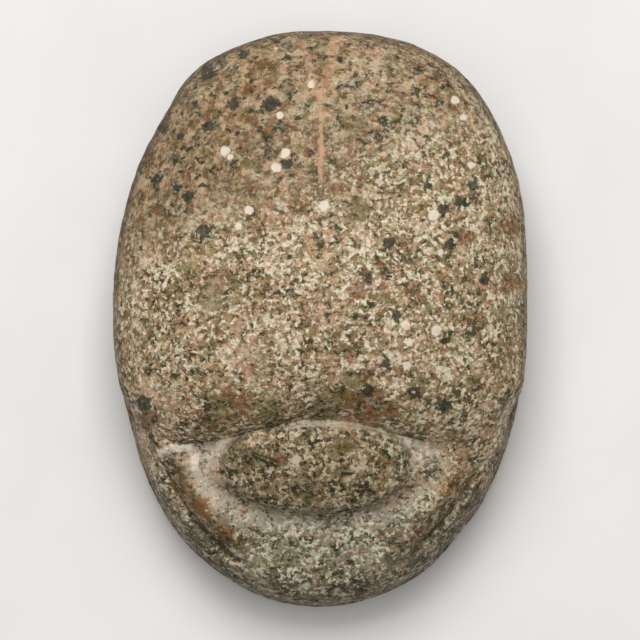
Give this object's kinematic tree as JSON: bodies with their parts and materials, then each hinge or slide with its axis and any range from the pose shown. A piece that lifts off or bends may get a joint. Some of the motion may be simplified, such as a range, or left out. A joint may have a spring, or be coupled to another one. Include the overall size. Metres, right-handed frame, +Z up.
{
  "type": "scarab amulet",
  "caption": "Beetle-shaped amulet of mottled stone: a smooth domed back, a boss-like head on a sloping nose plate, plain flanks with low legs, and a flat underside to rest on",
  "frame": {"origin": "centre of the bounding box in plan, on the flat underside", "axes": "+X to the beetle's left side as seen from above with the head towards the viewer, +Y towards the tail along the length, +Z up through the back"},
  "size_m": [0.0402, 0.056, 0.0215],
  "materials": {
    "mottled_stone": "worn smooth and matt, speckled beige, rust, olive and black-green"
  },
  "bodies": {
    "root": {"scarab": "mottled_stone"}
  },
  "joints": []
}
